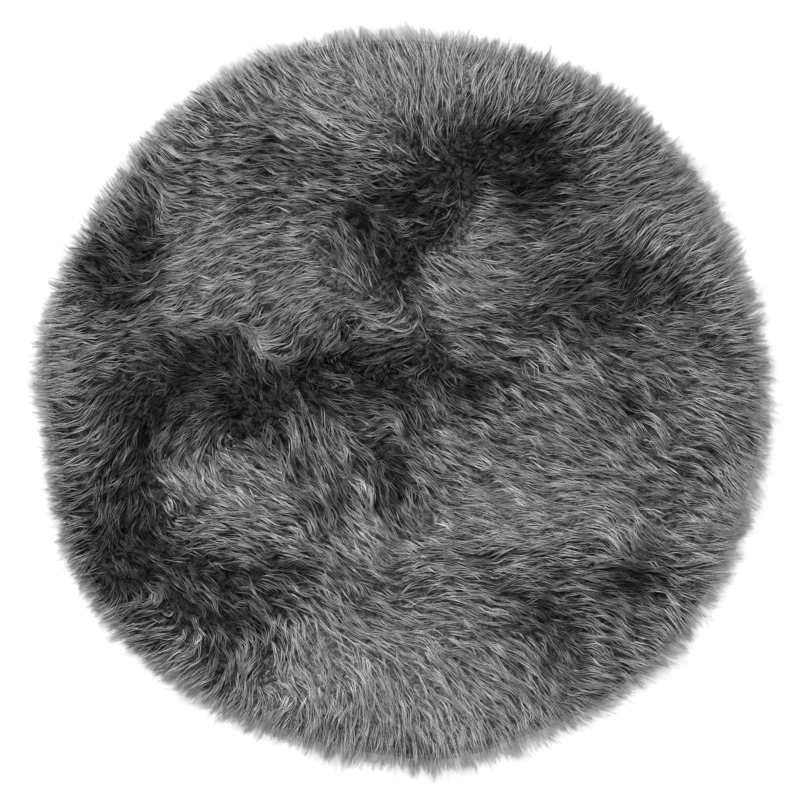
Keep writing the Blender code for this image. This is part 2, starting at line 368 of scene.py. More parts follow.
# The tone, from 0 in a deep hollow to 1 on a crest: painted shade in the hollows, painted light on the
# crests and at the rim, and tone that differs at random in the mottles
PLAIN_TONE = 0.50
# painted light on the crests
CREST_LIGHT = 0.42
# painted shade in the hollows
HOLLOW_SHADE = -0.62
# painted light at the rim
RIM_LIGHT = 0.23
Mottle = namedtuple("Mottle", "size layer strength")
PATCHES = Mottle(0.030, 0.9, 0.16)
FLECKS = Mottle(0.012, 2.9, 0.12)

CALM_TONES = 0.5, 0.9  # where it starts to lie evenly, and where it does so fully
CALM_DRAW = 0.40  # how much less calm wool draws into clumps
EDGE_DEPTH = 0.05
EDGE_SPREAD = 0.30  # how much less it draws together near the rim
HOLLOW_SCATTER = 0.35
PARTING_CURLS = 1.2
CURLS_START = 0.75
WISPS_DEPTH = 0.026
HIDE_EDGE_DEPTH = 0.010

# ==== Tones of the wool

# What a strand's tone is multiplied by at the two ends of each thing that varies it
Tone = namedtuple("Tone", "dark_first dark_last pale_first pale_last")
TONES = {
    # painted light: lighter low in the pile, against the shade there
    "painted light low in the pile": Tone(0.96, 0.85, 0.84, 0.53),
    "tip": Tone(1.00, 0.70, 1.00, 0.58),
    "strand": Tone(0.78, 1.22, 0.98, 1.02),
    "bright strand": Tone(0.98, 1.12, 0.98, 1.04),
    "lock": Tone(0.82, 1.18, 0.97, 1.03),
    # painted light and shade of the crimps along a lock
    "painted crimp shade": Tone(0.82, 1.18, 0.95, 1.05),
    # painted highlight along each strand's ridge
    "ridge": Tone(0.94, 1.01, 0.94, 1.01),
    # painted shade on the strands at a lock's border, lighter in its middle
    "border": Tone(1.03, 0.82, 1.03, 0.99),
    "tuft": Tone(0.78, 1.22, 0.94, 1.06),
    "fibre": Tone(0.78, 1.22, 0.94, 1.06),
}
PALE_ZONES = 0.5, 0.9545  # in the zone's painted light and shade: where wool starts to count as pale, and where it is fully so
# heights over which the painted light low in the pile fades
PILE_HEIGHTS = 0.010, 0.040
EMERGING = 0.10, 0.60  # the share of its length over which a strand comes out of the pile and its painted root shade fades
NOISE_RANGE = 0.3, 0.7
TUFT_RANGE = -0.5, 0.5
ROOT_TONES = 0.004, 0.330  # painted shade at the root, in dark and in pale wool
ROOT_CURVES = 2.0, 1.0
TIP_CURVES = 5.0, 3.0
BARE_ROOT_TONE = 0.30
# the tone once the painted root shade has faded out
EMERGED_TONE = 0.54
HOLLOW_SHADE_TONES = 0.05, 0.55  # painted shade in the hollows, differing at random from clump to clump
HOLLOW_SHADE_CURVE = 1.6
# painted light on the crests
CREST_LIGHT_TONE = 1.70
BRIGHT_STRAND_CURVE = 4.0
CRIMP_SHADES = 6.0  # lit and shaded crimps painted along a strand
FIBRES_ACROSS = 1.3
FIBRES_ALONG = 2.0
FIBRE_SCALE = 1.6
FIBRE_RELIEF = 0.0004
APART = Vector((90.0, 900.0, 37.0))  # far enough apart in a noise for strands not to look alike
WOOL_ROUGHNESS = 0.5
WOOL_SHEEN = 0.02

CURL_WIDTH = 0.0016
CURL_SIZE = 0.007
CURL_RELIEF = 0.0008
# painted shade deep in the pile, from the hollows to the crests
UNDERWOOL_SHADE_TONES = 0.014, 0.100
PIT_RANGE = 0.40, 0.65
PIT_SHADE_TONES = 0.05, 0.50, 1.5  # painted shade in a hollow's pits, in a crest's, and between them
CURL_RANGE = 0.375, 0.625
CURL_TONES = 0.3, 1.7

SUEDE_TONES = 0.14, 0.30
SUEDE_SCALE = 260.0
SUEDE_RELIEF = 0.001

# ==== Sizes of the studio

FLOOR_HALF = 6.0
FLOOR_TONE = 0.50
LIGHT_PLACE = (-1.3, 1.5, 4.2)
LIGHT_SIZE = 3.0
LIGHT_POWER = 330.0
SKY_STRENGTH = 0.95
CAMERA_HEIGHT = 3.0
CAMERA_AIM = (-0.0036, -0.0036)
FRAME_WIDTH = 0.967  # across the view, at the height of the wool's face
FACE_HEIGHT = 0.02
SENSOR_WIDTH = 36.0  # millimetres

# ==== Fields over the rug


def bell(distance, width):
    return np.exp(-((distance / width) ** 2))


def fading(inward, depth):
    """1 at the outermost roots, falling to 0 at a depth further in."""
    return np.clip(1.0 - inward / depth, 0.0, 1.0)


def outline_radius(bearing):
    """The reach of the wool at a bearing in degrees."""
    radius = np.full(np.shape(bearing), RUG_RADIUS)
    for bulge in BULGES:
        away = (bearing - bulge.bearing + 180.0) % 360.0 - 180.0
        radius = radius + bulge.out * bell(away, bulge.half_width)
    return radius


def inward_of(x, y):
    """How far each place lies in from the outermost roots."""
    bearing = np.degrees(np.arctan2(y, x))
    return outline_radius(bearing) - ROOT_INSET - np.hypot(x, y)


def spots(x, y, rows, strength):
    """The sum of soft round spots at each place, from a table in centimetres."""
    total = np.zeros_like(x)
    for row in rows:
        distance = np.hypot(x - row.x * CM, y - row.y * CM)
        total += getattr(row, strength) * bell(distance, row.radius * CM)
    return total


def hollow_of(x, y, rows=HOLLOWS):
    return np.clip(spots(x, y, rows, "depth"), 0.0, MOST_HOLLOW)


def crest_of(x, y):
    return np.clip(spots(x, y, CRESTS, "lift"), 0.0, 1.0)


def lumps(x, y, size, layer):
    """Soft lumps of about a size, from -1 to 1. Each layer has its own."""
    above = Vector((0.0, 0.0, layer))
    return np.array([noise.noise(Vector((px, py, 0.0)) / size + above) for px, py in zip(x, y)])


def unit(east, north):
    total = np.hypot(east, north) + TINY
    return east / total, north / total


def comb_field(x, y):
    """Unit headings of the comb at each place, blended from the strokes and turned by the whorls."""
    east, north = np.zeros_like(x), np.zeros_like(x)
    for stroke in STROKES:
        distance = np.hypot(x - stroke.x * CM, y - stroke.y * CM)
        weight = bell(distance, STROKE_REACH) + FAR_WEIGHT / (1.0 + (distance / STROKE_REACH) ** 4)
        east += weight * math.cos(math.radians(stroke.heading))
        north += weight * math.sin(math.radians(stroke.heading))
    east, north = unit(east, north)
    for whorl in WHORLS:
        dx, dy = x - whorl.x * CM, y - whorl.y * CM
        weight = abs(whorl.spin) * bell(np.hypot(dx, dy), whorl.radius * CM)
        turn = math.copysign(1.0, whorl.spin) / (np.hypot(dx, dy) + TINY_LENGTH)
        east, north = east - dy * turn * weight, north + dx * turn * weight
    return unit(east, north)


def spreading(x, y):
    """How fast the comb spreads apart at each place, per metre: positive along a parting."""
    east = comb_field(x + SPREAD_STEP, y)[0] - comb_field(x - SPREAD_STEP, y)[0]
    north = comb_field(x, y + SPREAD_STEP)[1] - comb_field(x, y - SPREAD_STEP)[1]
    return (east + north) / (2.0 * SPREAD_STEP)


def combed(x, y, inward):
    """The comb with its small meanders, drawn outwards at the rim."""
    east, north = comb_field(x, y)
    meander = lumps(x, y, MEANDER_SIZE, layer=0.3) * MEANDER_TURN
    east, north = (
        east * np.cos(meander) - north * np.sin(meander),
        east * np.sin(meander) + north * np.cos(meander),
    )
    radius = np.hypot(x, y) + TINY_LENGTH
    outward = RIM_PULL * fading(inward, RIM_PULL_DEPTH)
    return unit(east + outward * x / radius, north + outward * y / radius)


def zone_of(x, y, inward):
    """The painted light and shade over each place, from 0 in the painted shade of a deep hollow to 1 in
    the painted light on a crest, with painted light at the rim and tone that differs at random in the
    mottles.
    """
    # painted light on the crests and painted shade in the hollows
    tone = PLAIN_TONE + CREST_LIGHT * crest_of(x, y) + HOLLOW_SHADE * hollow_of(x, y)
    for mottle in (PATCHES, FLECKS):
        tone += mottle.strength * lumps(x, y, mottle.size, mottle.layer)
    # painted light at the rim
    return np.clip(tone + RIM_LIGHT * fading(inward, DROOP_DEPTH), 0.0, 1.0)


def nap_fields(x, y, inward):
    """What the locks read from the hide that they grow on."""
    hollow = hollow_of(x, y)
    wide_hollow = hollow_of(x, y, [row for row in HOLLOWS if row.radius > SMALL_PIT])
    droop = fading(inward, DROOP_DEPTH)
    edge = 1.0 - EDGE_SPREAD * fading(inward, EDGE_DEPTH)
    parting = np.clip(spreading(x, y) * PARTING_GAIN, 0.0, 1.0)
    lean = PLAIN_LEAN + CREST_LEAN * crest_of(x, y) + HOLLOW_LEAN * hollow + PARTING_LEAN * parting
    zone = zone_of(x, y, inward)
    first_calm, full_calm = CALM_TONES
    calm = np.clip((zone - first_calm) / (full_calm - first_calm), 0.0, 1.0)
    shortened = 1.0 - HOLLOW_SHORTENS * hollow * (1.0 - droop)
    return {
        "lean": np.maximum(np.clip(lean, 0.0, 1.0), droop),
        "droop": droop,
        "grow": np.minimum(shortened, RIM_LENGTH + inward / RIM_LENGTHENS),
        "zone": zone,
        "calm": calm,
        "draw": (1.0 - CALM_DRAW * calm) * edge,
        "gather": edge,
        "scatter": np.clip(parting + HOLLOW_SCATTER * hollow, 0.0, 1.0) * (1.0 - droop),
        "curly": np.clip(PARTING_CURLS * parting + wide_hollow - CURLS_START, 0.0, 1.0) * (1.0 - droop),
        "everywhere": np.ones_like(x),
        "wispy": (inward < WISPS_DEPTH).astype(float),
        "hide_edge": (inward < HIDE_EDGE_DEPTH).astype(float),
    }


# ==== Node trees


class Tree:
    """A node tree in the making. A socket or a constant may be given wherever a node takes an input."""

    def __init__(self, group):
        self.group = group

    def add(self, kind, inputs=(), **settings):
        node = self.group.nodes.new(kind)
        for name, value in settings.items():
            setattr(node, name, value)
        for key, value in dict(inputs).items():
            self.feed(node.inputs[key], value)
        return node

    def feed(self, socket, value):
        if isinstance(value, bpy.types.NodeSocket):
            self.group.links.new(value, socket)
        else:
            socket.default_value = value

    def math(self, operation, *values):
        return self.add("ShaderNodeMath", enumerate(values), operation=operation).outputs[0]

    def vector(self, operation, *values):
        node = self.add("ShaderNodeVectorMath", enumerate(values), operation=operation)
        return node.outputs["Vector"]

    def scaled(self, vector, factor):
        inputs = {"Vector": vector, "Scale": factor}
        return self.add("ShaderNodeVectorMath", inputs, operation="SCALE").outputs["Vector"]

    def total(self, first, *others):
        for other in others:
            first = self.math("ADD", first, other)
        return first

    def product(self, first, *others):
        for other in others:
            first = self.math("MULTIPLY", first, other)
        return first

    def combine(self, x, y, z):
        return self.add("ShaderNodeCombineXYZ", {"X": x, "Y": y, "Z": z}).outputs[0]

    def separate(self, vector):
        return self.add("ShaderNodeSeparateXYZ", {"Vector": vector}).outputs

    def mix(self, factor, first, second):
        """first where factor is 0, second where it is 1."""
        inputs = {"Value": factor, "To Min": first, "To Max": second}
        return self.add("ShaderNodeMapRange", inputs, clamp=True).outputs["Result"]

    def share(self, value, low, high):
        """0 where value is low, 1 where it is high."""
        inputs = {"Value": value, "From Min": low, "From Max": high}
        return self.add("ShaderNodeMapRange", inputs, clamp=True).outputs["Result"]

    def noise(self, place, scale, detail=0.0, distortion=0.0):
        inputs = {"Vector": place, "Scale": scale, "Detail": detail, "Distortion": distortion}
        return self.add("ShaderNodeTexNoise", inputs).outputs


class GeometryTree(Tree):
    """A Geometry Nodes tree with an input for each of the values that it can be given."""

    SOCKETS = {str: "String", int: "Int", float: "Float", type(None): "Material"}

    def __init__(self, name, values):
        super().__init__(bpy.data.node_groups.new(name, "GeometryNodeTree"))
        face = self.group.interface
        face.new_socket("Geometry", in_out="INPUT", socket_type="NodeSocketGeometry")
        for label, value in values.items():
            kind = "NodeSocket" + self.SOCKETS[type(value)]
            face.new_socket(label, in_out="INPUT", socket_type=kind)
        face.new_socket("Geometry", in_out="OUTPUT", socket_type="NodeSocketGeometry")
        self.inputs = self.group.nodes.new("NodeGroupInput").outputs

    def position(self):
        return self.add("GeometryNodeInputPosition").outputs[0]

    def index(self):
        return self.add("GeometryNodeInputIndex").outputs[0]

    def named(self, name, kind="FLOAT"):
        node = self.add("GeometryNodeInputNamedAttribute", {"Name": name}, data_type=kind)
        return node.outputs["Attribute"]

    def store(self, geometry, name, value, kind="FLOAT", domain="POINT"):
        inputs = {"Geometry": geometry, "Name": name, "Value": value}
        kinds = {"data_type": kind, "domain": domain}
        return self.add("GeometryNodeStoreNamedAttribute", inputs, **kinds).outputs["Geometry"]

    def carried(self, name, kind="FLOAT"):
        """An attribute of the hide, read under each point."""
        inputs = {"Mesh": self.inputs["Geometry"], "Value": self.named(name, kind)}
        inputs["Sample Position"] = self.position()
        return self.add("GeometryNodeSampleNearestSurface", inputs, data_type=kind).outputs["Value"]

    def chance(self, odds, owner):
        """A random number for each owner, which is an attribute such as the number of each lock."""
        node = self.add("FunctionNodeRandomValue", data_type="FLOAT")
        given = {
            "Min_001": odds.low,
            "Max_001": odds.high,
            "ID": self.named(owner, "INT"),
            "Seed": odds.seed,
        }
        for socket in node.inputs:
            if socket.identifier in given:
                self.feed(socket, given[socket.identifier])
        return next(socket for socket in node.outputs if socket.enabled)

    def compare(self, operation, first, second, kind):
        node = self.add("FunctionNodeCompare", data_type=kind, operation=operation)
        sides = [socket for socket in node.inputs if socket.enabled]
        self.feed(sides[0], first)
        self.feed(sides[1], second)
        return node.outputs[0]

    def turned(self, vector, angle):
        """The vector turned to the left about +Z."""
        inputs = {"Vector": vector, "Angle": angle}
        return self.add("ShaderNodeVectorRotate", inputs, rotation_type="Z_AXIS").outputs[0]

    def moved(self, geometry, **inputs):
        inputs = {"Geometry": geometry, **inputs}
        return self.add("GeometryNodeSetPosition", inputs).outputs[0]

    def finish(self, geometry, material):
        real = self.add("GeometryNodeRealizeInstances", {"Geometry": geometry}).outputs[0]
        inputs = {"Geometry": real, "Material": material}
        done = self.add("GeometryNodeSetMaterial", inputs).outputs[0]
        self.add("NodeGroupOutput", {"Geometry": done})
        return self.group


# ==== The tree that grows the locks


def lock_tree(name, ring_count):
    """Locks of tapered strands that grow from a hide and follow the way it is combed."""
    tree = GeometryTree(name, {**PILE, "Wool": None})
    points = share_tufts(tree, find_clumps(tree, plant_locks(tree)))
    curves, strand_count = strand_curves(tree, points, ring_count)
    curves = grow_strands(tree, curves, ring_count - 1)
    curves = tree.store(curves, "along", along_at(tree, tree.named("ring", "INT"), ring_count - 1))
    curves = gather_strands(tree, curves)
    radius = strand_radius(tree)
    curves = keep_in_pile(tree, curves, radius)
    curves = store_tones(tree, curves)
    mesh = sweep_strands(tree, curves, radius)
    mesh = map_strands(tree, mesh, strand_count)
    return tree.finish(mesh, tree.inputs["Wool"])


def spread_points(tree, spacing, **inputs):
    """Points spread evenly over the hide, no closer together than the spacing."""
    inputs = {
        "Mesh": tree.inputs["Geometry"],
        "Distance Min": spacing,
        "Density Max": tree.math("DIVIDE", POINT_CROWD, tree.math("POWER", spacing, 2.0)),
        "Seed": tree.inputs["Seed"],
        **inputs,
    }
    kind = "GeometryNodeDistributePointsOnFaces"
    return tree.add(kind, inputs, distribute_method="POISSON").outputs["Points"]


def plant_locks(tree):
    """The roots of one batch of the locks, each with the number of its lock."""
    given = tree.inputs
    where = {"Density Factor": tree.named(given["Grows Where"])}
    roots = spread_points(tree, given["Spacing"], **where)
    points = tree.store(roots, "lock", tree.index(), "INT")
    batch = tree.math("FLOORED_MODULO", tree.named("lock", "INT"), given["Batches"])
    other = tree.compare("NOT_EQUAL", batch, given["Batch"], "FLOAT")
    inputs = {"Geometry": points, "Selection": other}
    return tree.add("GeometryNodeDeleteGeometry", inputs, domain="POINT").outputs[0]


def find_clumps(tree, points):
    """The clump nearest to each lock, which its strands draw together into."""
    clumps = spread_points(tree, tree.inputs["Clump Size"])
    place = tree.position()
    inputs = {"Geometry": clumps, "Sample Position": place}
    nearest = tree.add("GeometryNodeSampleNearest", inputs, domain="POINT").outputs["Index"]
    inputs = {"Geometry": clumps, "Value": place, "Index": nearest}
    centre = tree.add("GeometryNodeSampleIndex", inputs, data_type="FLOAT_VECTOR", domain="POINT")
    way = tree.vector("SUBTRACT", centre.outputs[0], place)
    points = tree.store(points, "to_clump", way, "FLOAT_VECTOR")
    return tree.store(points, "clump", nearest, "INT")


def share_tufts(tree, points):
    """Neighbouring locks share a little of their turn, rise, tone and wave, and so part into tufts."""
    size = tree.inputs["Tuft Size"]
    tuft = tree.noise(tree.position(), tree.math("DIVIDE", 1.0, size), detail=1.0)
    shared = tree.scaled(tree.vector("SUBTRACT", tuft["Color"], (0.5, 0.5, 0.5)), TUFT_STRENGTH)
    points = tree.store(points, "tuft", shared, "FLOAT_VECTOR")
    swell = tree.noise(tree.position(), tree.math("DIVIDE", PHASE_SPREAD, size))
    return tree.store(points, "wave_phase", tree.product(swell["Fac"], PHASE_TURNS))


def tuft_part(tree, axis):
    return tree.separate(tree.named("tuft", "FLOAT_VECTOR"))[axis]


def strand_curves(tree, points, ring_count):
    """A curve for each strand of each lock, with all its rings still at the root, and their number."""

    def repeated(points, amount):
        inputs = {"Geometry": points, "Amount": amount}
        return tree.add("GeometryNodeDuplicateElements", inputs, domain="POINT").outputs

    strands = repeated(points, tree.inputs["Strands"])
    points = tree.store(strands["Geometry"], "strand", tree.index(), "INT")
    size = tree.add("GeometryNodeAttributeDomainSize", {"Geometry": points}, component="POINTCLOUD")
    rings = repeated(points, ring_count)
    points = tree.store(rings["Geometry"], "ring", rings["Duplicate Index"], "INT")
    inputs = {
        "Points": points,
        "Curve Group ID": tree.named("strand", "INT"),
        "Weight": tree.named("ring", "INT"),
    }
    curves = tree.add("GeometryNodePointsToCurves", inputs).outputs["Curves"]
    return curves, size.outputs["Point Count"]


def along_at(tree, step, steps):
    """Share of a strand's length at a ring."""
    left = tree.math("SUBTRACT", 1.0, tree.math("DIVIDE", step, float(steps)))
    return tree.math("SUBTRACT", 1.0, tree.math("POWER", left, RING_CROWDING))


def grow_strands(tree, curves, steps):
    """Each step moves the rings that haven't grown yet, a span further along the comb."""
    start = tree.group.nodes.new("GeometryNodeRepeatInput")
    end = tree.group.nodes.new("GeometryNodeRepeatOutput")
    start.pair_with_output(end)
    tree.feed(start.inputs["Iterations"], steps)
    tree.feed(start.inputs["Geometry"], curves)
    step = start.outputs["Iteration"]
    here = along_at(tree, step, steps)
    there = along_at(tree, tree.math("ADD", step, 1.0), steps)
    middle = tree.product(tree.math("ADD", here, there), 0.5)
    droop = tree.carried("droop")
    heading = tree.turned(tree.carried("comb", "FLOAT_VECTOR"), strand_turn(tree, middle, droop))
    rise = strand_rise(tree, middle, droop)
    span = tree.product(strand_length(tree), tree.math("SUBTRACT", there, here))
    flat = tree.scaled(heading, tree.product(tree.math("COSINE", rise), span))
    lift = tree.combine(0.0, 0.0, tree.product(tree.math("SINE", rise), span))
    waiting = tree.compare("GREATER_THAN", tree.named("ring", "INT"), step, "INT")
    offset = tree.vector("ADD", flat, lift)
    moved = tree.moved(start.outputs["Geometry"], Selection=waiting, Offset=offset)
    tree.feed(end.inputs["Geometry"], moved)
    return end.outputs["Geometry"]


def strand_turn(tree, middle, droop):
    """How far a strand turns off the comb as it waves, meanders, strays and frays."""
    given = tree.inputs
    phase = tree.total(
        tree.product(tree.named("wave_phase"), FULL_TURN),
        tree.chance(LOCK_PHASE, "lock"),
        tree.chance(STRAND_PHASE, "strand"),
    )
    cycles = tree.product(tree.chance(WAVE_CYCLES, "lock"), FULL_TURN)
    swing = tree.math("SINE", tree.math("MULTIPLY_ADD", middle, cycles, phase))
    level = tree.vector("MULTIPLY", tree.position(), (1.0, 1.0, 0.0))
    bend = tree.noise(level, tree.math("DIVIDE", 1.0, given["Meander Size"]), detail=1.0)["Fac"]
    meander = tree.product(tree.math("SUBTRACT", bend, 0.5), MEANDER_SWING)
    stray = tree.math("MULTIPLY_ADD", tree.named("scatter"), given["Scatter"], given["Stray"])
    shared = tree.total(
        tree.product(swing, given["Wave"]),
        tree.product(meander, given["Meander"]),
        tree.product(tree.chance(LOCK_TURN, "lock"), stray),
        tree.product(tuft_part(tree, "X"), given["Tuft Turn"]),
    )
    own = tree.product(tree.chance(STRAND_TURN, "strand"), given["Fray"])
    return tree.total(
        tree.product(shared, tree.mix(droop, 1.0, RIM_TURN)),
        tree.product(own, tree.mix(droop, 1.0, RIM_FRAY)),
    )


def strand_rise(tree, middle, droop):
    """The angle of a strand over the floor: steep at its root, and lying over towards its tip."""
    lean = tree.product(tree.named("lean"), tree.math("SUBTRACT", 1.0, tree.inputs["Stand"]))
    rise = tree.mix(
        tree.math("POWER", middle, RISE_CURVE), tree.mix(lean, *ROOT_RISES), tree.mix(lean, *TIP_RISES)
    )
    uneven = tree.total(
        tree.chance(CLUMP_RISE, "clump"),
        tree.chance(LOCK_RISE, "lock"),
        tree.chance(STRAND_RISE, "strand"),
        tree.product(tuft_part(tree, "Y"), tree.inputs["Tuft Rise"]),
    )
    unevenness = tree.mix(tree.named("calm"), 1.0, CALM_UNEVENNESS)
    rise = tree.math("MULTIPLY_ADD", uneven, unevenness, rise)
    return tree.math("SUBTRACT", rise, tree.product(droop, RIM_SINK))


def strand_length(tree):
    """Tufts and clumps differ in length, most of all the clumps at the rim."""
    tuft_length = tree.math("MULTIPLY_ADD", tuft_part(tree, "Y"), TUFT_LENGTH, 1.0)
    at_rim = tree.chance(RIM_CLUMP_LENGTH, "clump")
    plain = tree.chance(CLUMP_LENGTH, "clump")
    clump_length = tree.math("MULTIPLY_ADD", at_rim, tree.named("droop"), plain)
    return tree.product(
        tree.product(tree.inputs["Length"], tree.named("grow"), tuft_length),
        tree.product(
            clump_length, tree.chance(LOCK_LENGTH, "lock"), tree.chance(STRAND_LENGTH, "strand")
        ),
    )


def gather_strands(tree, curves):
    """Lays the strands of a lock side by side as a rounded ridge, and draws them to their clump."""
    given = tree.inputs
    along = tree.named("along")
    comb = tree.carried("comb", "FLOAT_VECTOR")
    side = tree.chance(STRAND_SIDE, "strand")
    curves = tree.store(curves, "border", tree.product(side, side))
    gathered = tree.product(
        given["Gather"], tree.named("gather"), tree.math("POWER", along, GATHER_CURVE)
    )
    reach = tree.product(
        given["Lock Width"],
        tree.math("SUBTRACT", 1.0, gathered),
        tree.mix(tree.named("droop"), 1.0, RIM_SPREAD),
    )
    crown = tree.product(
        tree.math("SUBTRACT", 1.0, tree.named("border")), tree.chance(STRAND_CROWN, "strand"), reach
    )
    slip = tree.product(tree.chance(STRAND_SLIP, "strand"), given["Lock Width"])
    aside = tree.vector(
        "ADD",
        tree.scaled(tree.turned(comb, RIGHT_ANGLE), tree.product(side, reach)),
        tree.scaled(comb, slip),
    )
    aside = tree.vector("ADD", aside, tree.combine(0.0, 0.0, crown))
    pull = tree.product(given["Clump Pull"], tree.named("draw"), tree.math("POWER", along, CLUMP_CURVE))
    drawn = tree.scaled(tree.named("to_clump", "FLOAT_VECTOR"), pull)
    return tree.moved(curves, Offset=tree.vector("ADD", aside, drawn))


def strand_radius(tree):
    return tree.product(
        tree.inputs["Strand Radius"],
        tree.chance(STRAND_RADIUS, "strand"),
        tree.mix(tree.named("droop"), 1.0, RIM_RADIUS),
        tree.mix(tree.named("calm"), 1.0, CALM_RADIUS),
    )


def keep_in_pile(tree, curves, radius):
    """Nothing goes through the floor, and stray tips are pressed down to the top of the pile."""
    parts = tree.separate(tree.position())
    height = tree.math("MAXIMUM", parts["Z"], tree.math("ADD", radius, FLOOR_GAP))
    height = tree.math("MINIMUM", height, PILE_TOP)
    return tree.moved(curves, Position=tree.combine(parts["X"], parts["Y"], height))


def store_tones(tree, curves):
    """What the wool's material reads. The zone, with its painted light and shade, is that of the place
    where a strand has come to lie.
    """
    tones = {
        "zone": tree.math("ADD", tree.carried("zone"), tree.inputs["Tone Lift"]),
        "root_shade": tree.inputs["Root Shade"],
        "tint": tree.chance(STRAND_TINT, "strand"),
        "lock_tint": tree.chance(LOCK_TINT, "lock"),
        "clump_tint": tree.chance(CLUMP_TINT, "clump"),
    }
    for name, value in tones.items():
        curves = tree.store(curves, name, value)
    return curves


def tent_profile(tree):
    """A flat three-sided tent. Its first corner is the ridge, and the others are its two sides."""
    inputs = {"Resolution": PROFILE_SIDES, "Radius": 1.0}
    circle = tree.add("GeometryNodeCurvePrimitiveCircle", inputs, mode="RADIUS").outputs["Curve"]
    inputs = {
        "Geometry": circle,
        "Rotation": (0.0, 0.0, -RIGHT_ANGLE),
        "Scale": (1.0, PROFILE_FLATNESS, 1.0),
    }
    tent = tree.add("GeometryNodeTransform", inputs).outputs[0]
    corner = tree.index()
    ridge = tree.math("LESS_THAN", corner, 0.5)
    side = tree.product(tree.math("SUBTRACT", corner, 1.5), 2.0)
    tent = tree.store(tent, "across", tree.math("DIVIDE", corner, float(PROFILE_SIDES)))
    tent = tree.store(tent, "ridge", ridge)
    return tree.store(tent, "side", tree.product(side, tree.math("SUBTRACT", 1.0, ridge)))


def sweep_strands(tree, curves, radius):
    """Sweeps the profile along each strand, and narrows it towards the tip."""
    taper = tree.product(tree.math("POWER", tree.named("along"), TAPER_CURVE), TAPER)
    curves = tree.add("GeometryNodeSetCurveNormal", {"Curve": curves}, mode="Z_UP").outputs[0]
    inputs = {
        "Curve": curves,
        "Profile Curve": tent_profile(tree),
        "Scale": tree.product(radius, tree.math("SUBTRACT", 1.0, taper)),
        "Fill Caps": True,
    }
    mesh = tree.add("GeometryNodeCurveToMesh", inputs).outputs["Mesh"]
    inputs = {"Geometry": mesh, "Shade Smooth": True}
    return tree.add("GeometryNodeSetShadeSmooth", inputs).outputs[0]


def map_strands(tree, mesh, strand_count):
    """A map with a cell for each strand: across it, and along it."""
    # The corner that closes the profile is its first one too, so round its last face it counts as 1.
    across = tree.named("across")
    face_mean = tree.add("GeometryNodeFieldOnDomain", data_type="FLOAT", domain="FACE")
    tree.feed(face_mean.inputs[0], across)
    closing = tree.product(
        tree.math("LESS_THAN", across, NEAR_CORNER),
        tree.math("COMPARE", face_mean.outputs[0], 1.0 / PROFILE_SIDES, NEAR_CORNER),
    )
    across = tree.math("ADD", across, closing)
    columns = tree.math("CEIL", tree.math("SQRT", tree.product(strand_count, MAP_COLUMNS)))
    rows = tree.math("CEIL", tree.math("DIVIDE", strand_count, columns))
    strand = tree.named("strand", "INT")
    column = tree.math("FLOORED_MODULO", strand, columns)
    row = tree.math("FLOOR", tree.math("DIVIDE", strand, columns))
    cell = tree.combine(
        tree.math("DIVIDE", tree.math("ADD", column, tree.mix(across, *MAP_ACROSS)), columns),
        tree.math("DIVIDE", tree.math("ADD", row, tree.mix(tree.named("along"), *MAP_ALONG)), rows),
        0.0,
    )
    return tree.store(mesh, "OFBake", cell, "FLOAT2", "CORNER")


# ==== Meshes


def polar_points(rings, spokes, inset):
    """Places on a disc of the rug's outline: the middle, then ring after ring."""
    share = np.arange(1, rings + 1) / rings
    bearing = np.arange(spokes) * 360.0 / spokes
    reach = outline_radius(bearing) - inset
    radius = share[:, None] * reach[None, :]
    x = radius * np.cos(np.radians(bearing))
    y = radius * np.sin(np.radians(bearing))
    return np.append(0.0, x.ravel()), np.append(0.0, y.ravel())


def polar_faces(rings, spokes):
    faces = []
    for spoke in range(spokes):
        after = (spoke + 1) % spokes
        faces.append((0, 1 + spoke, 1 + after))
        for ring in range(rings - 1):
            inner, outer = 1 + ring * spokes, 1 + (ring + 1) * spokes
            faces.append((inner + spoke, outer + spoke, outer + after, inner + after))
    return faces


def object_of(name, data):
    made = bpy.data.objects.new(name, data)
    bpy.context.scene.collection.objects.link(made)
    return made


def store_fields(mesh, fields, comb):
    for name, values in fields.items():
        mesh.attributes.new(name, "FLOAT", "POINT").data.foreach_set("value", values)
    east, north = comb
    vectors = np.column_stack((east, north, np.zeros_like(east))).ravel()
    mesh.attributes.new("comb", "FLOAT_VECTOR", "POINT").data.foreach_set("vector", vectors)


def nap_mesh():
    """The face of the hide that the wool grows from, with how it is combed on its points."""
    x, y = polar_points(NAP_RINGS, NAP_SPOKES, ROOT_INSET)
    points = np.column_stack((x, y, np.full_like(x, HIDE_TOP)))
    mesh = bpy.data.meshes.new("nap")
    mesh.from_pydata(points.tolist(), [], polar_faces(NAP_RINGS, NAP_SPOKES))
    inward = inward_of(x, y)
    store_fields(mesh, nap_fields(x, y, inward), combed(x, y, inward))
    return mesh


def disc_slab(name, rings, spokes, inset, bottom, top):
    """A closed round slab in the rug's outline, flat below, with its top from a function of place."""
    x, y = polar_points(rings, spokes, inset)
    count = len(x)
    upper = np.column_stack((x, y, top(x, y)))
    lower = np.column_stack((x, y, np.full_like(x, bottom)))
    up = polar_faces(rings, spokes)
    down = [tuple(count + i for i in reversed(face)) for face in up]
    first = count - spokes
    wall = []
    for spoke in range(spokes):
        here, after = first + spoke, first + (spoke + 1) % spokes
        wall.append((here, count + here, count + after, after))
    mesh = bpy.data.meshes.new(name)
    mesh.from_pydata(np.vstack((upper, lower)).tolist(), [], up + down + wall)
    mesh.shade_smooth()
    return mesh


def make_hide(material):
    def top(x, y):
        return np.full_like(x, HIDE_TOP)

    mesh = disc_slab("hide", HIDE_RINGS, HIDE_SPOKES, HIDE_INSET, HIDE_LIFT, top)
    mesh.materials.append(material)
    return object_of("hide", mesh)


